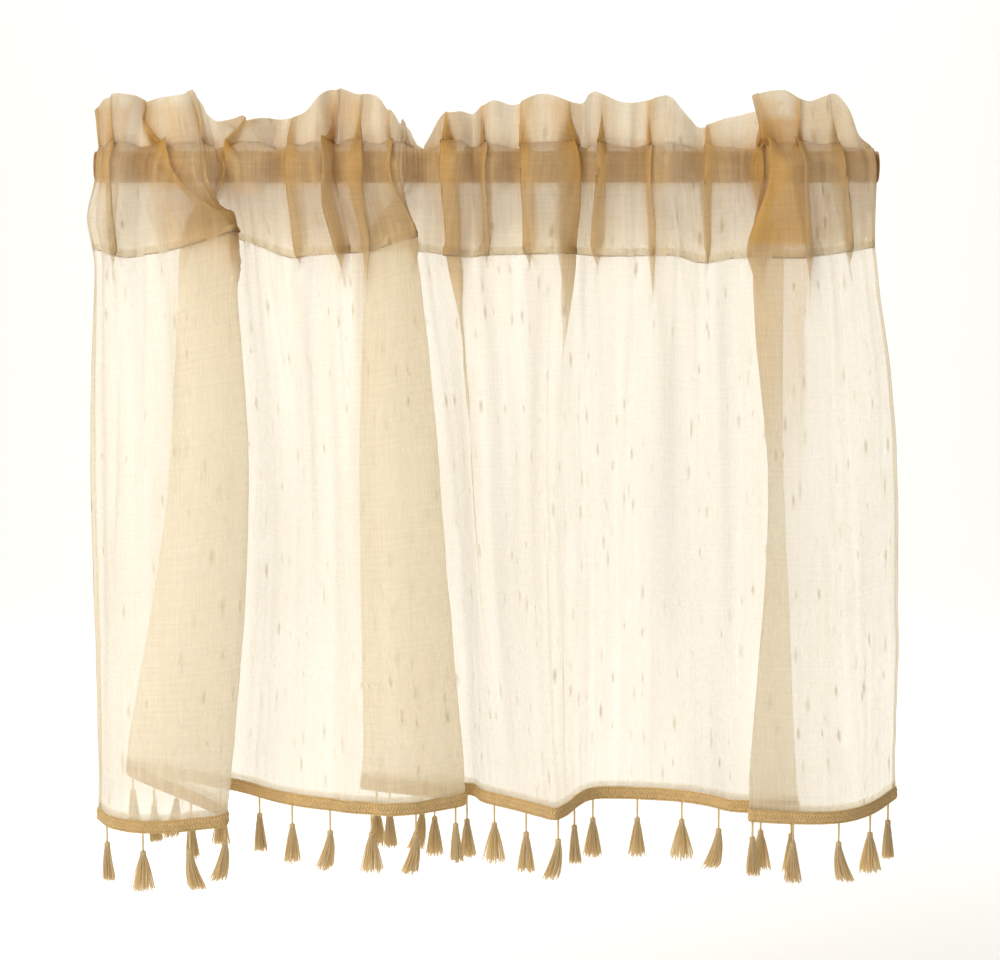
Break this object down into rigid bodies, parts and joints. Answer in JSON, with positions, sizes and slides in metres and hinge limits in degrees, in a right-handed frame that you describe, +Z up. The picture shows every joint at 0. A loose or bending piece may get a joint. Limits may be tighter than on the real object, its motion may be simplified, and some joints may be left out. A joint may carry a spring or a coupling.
{
  "type": "rod pocket cafe curtain on a rod",
  "caption": "Short sheer cafe curtain gathered on a round wooden rod, with a ruffled heading, a sewn rod pocket, and a braid with small tassels along its wavy hem.",
  "frame": {"origin": "middle of the rod's left end face, as seen from the front", "axes": "+X along the rod to the right, +Y away from the viewer, towards the window, +Z up"},
  "size_m": [0.6612, 0.1133, 0.6402],
  "materials": {
    "linen": "sheer slub weave, matt",
    "braid": "woven braid, matt",
    "yarn": "soft yarn, matt",
    "wood": "satin"
  },
  "bodies": {
    "root": {"panel": "linen", "braid": "braid", "rod": "wood", "tassel_01": "yarn", "tassel_02": "yarn", "tassel_03": "yarn", "tassel_04": "yarn", "tassel_05": "yarn", "tassel_06": "yarn", "tassel_07": "yarn", "tassel_08": "yarn", "tassel_09": "yarn", "tassel_10": "yarn", "tassel_11": "yarn", "tassel_12": "yarn", "tassel_13": "yarn", "tassel_14": "yarn", "tassel_15": "yarn", "tassel_16": "yarn", "tassel_17": "yarn", "tassel_18": "yarn", "tassel_19": "yarn", "tassel_20": "yarn", "tassel_21": "yarn", "tassel_22": "yarn", "tassel_23": "yarn", "tassel_24": "yarn", "tassel_25": "yarn", "tassel_26": "yarn", "tassel_27": "yarn", "tassel_28": "yarn", "tassel_29": "yarn", "tassel_30": "yarn", "tassel_31": "yarn", "tassel_32": "yarn", "tassel_33": "yarn", "tassel_34": "yarn", "tassel_35": "yarn"}
  },
  "joints": []
}
